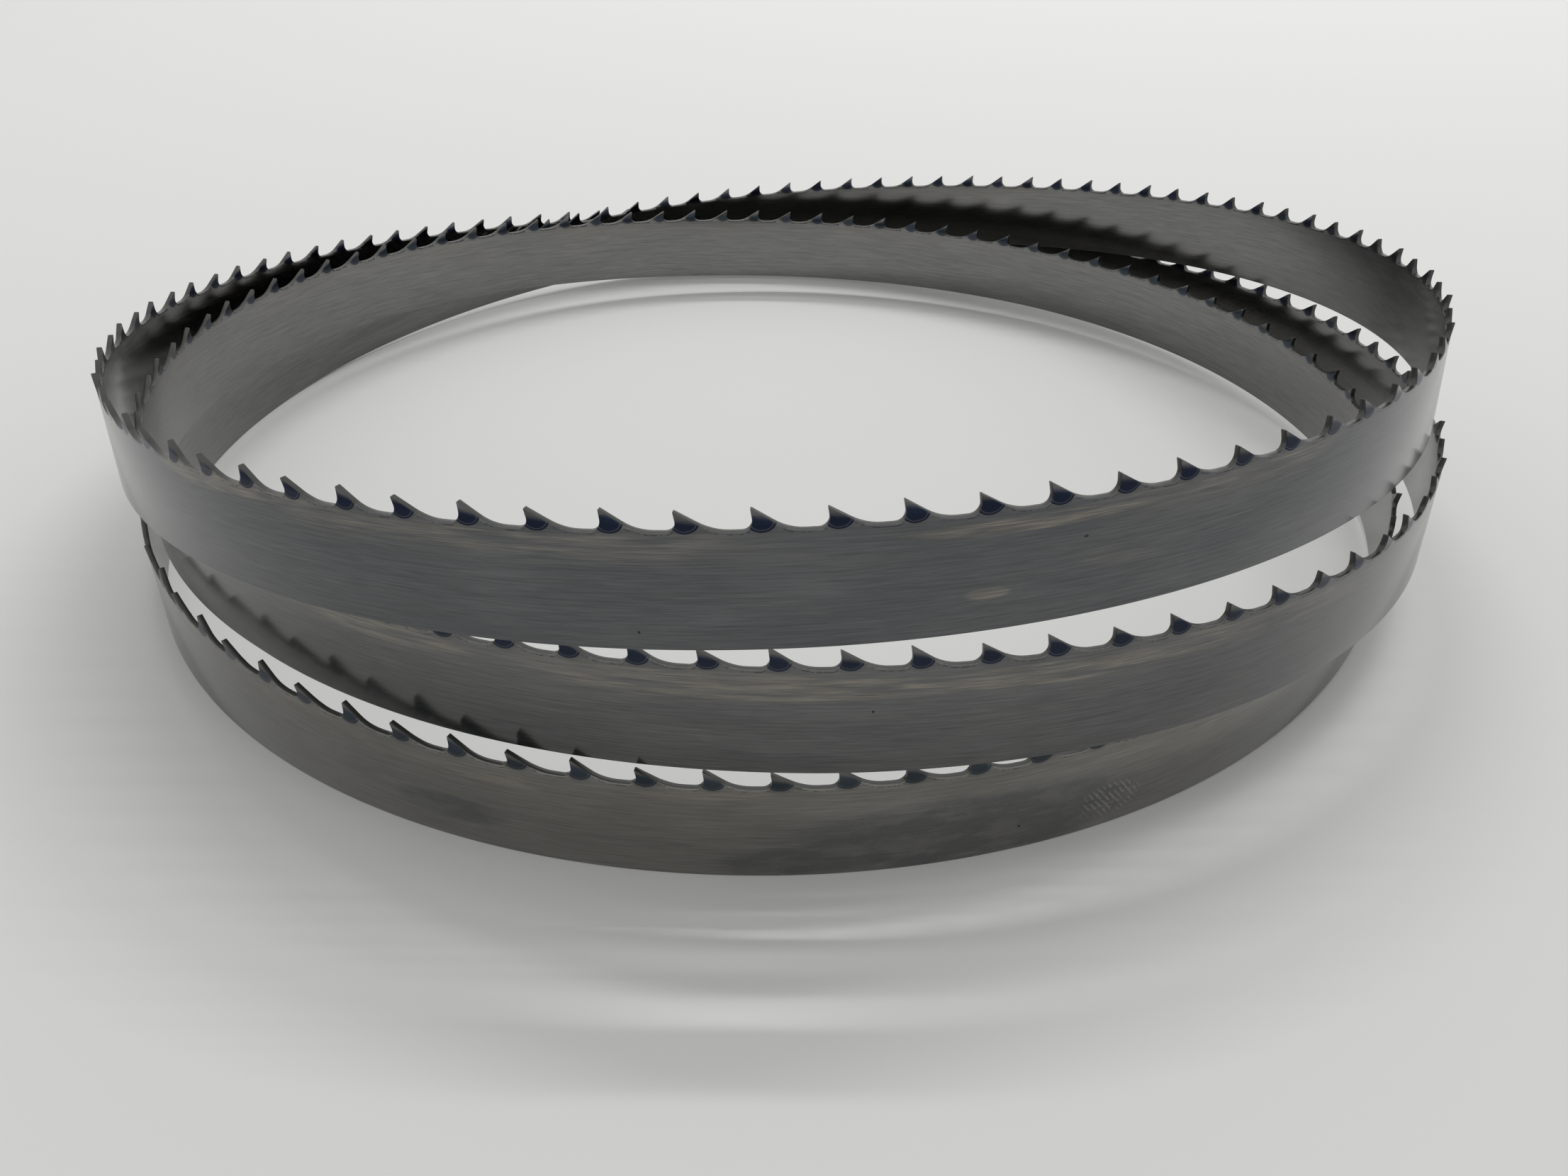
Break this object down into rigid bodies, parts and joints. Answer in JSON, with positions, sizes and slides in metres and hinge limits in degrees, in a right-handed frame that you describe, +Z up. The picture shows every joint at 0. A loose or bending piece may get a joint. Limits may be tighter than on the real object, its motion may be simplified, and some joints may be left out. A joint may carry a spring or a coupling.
{
  "type": "band saw blade",
  "caption": "Endless toothed steel band for a band saw, coiled into loops that stand on their back edge with the hook teeth up.",
  "frame": {"origin": "on the table, under the middle of the box around the coil", "axes": "+Z up out of the coil, the way the teeth point; -Y is the front, where the top loop stands highest"},
  "size_m": [0.1774, 0.1818, 0.0416],
  "materials": {
    "blade_steel": "dark blue-grey steel with fine streaks along the band"
  },
  "bodies": {
    "root": {"blade": "blade_steel"}
  },
  "joints": []
}
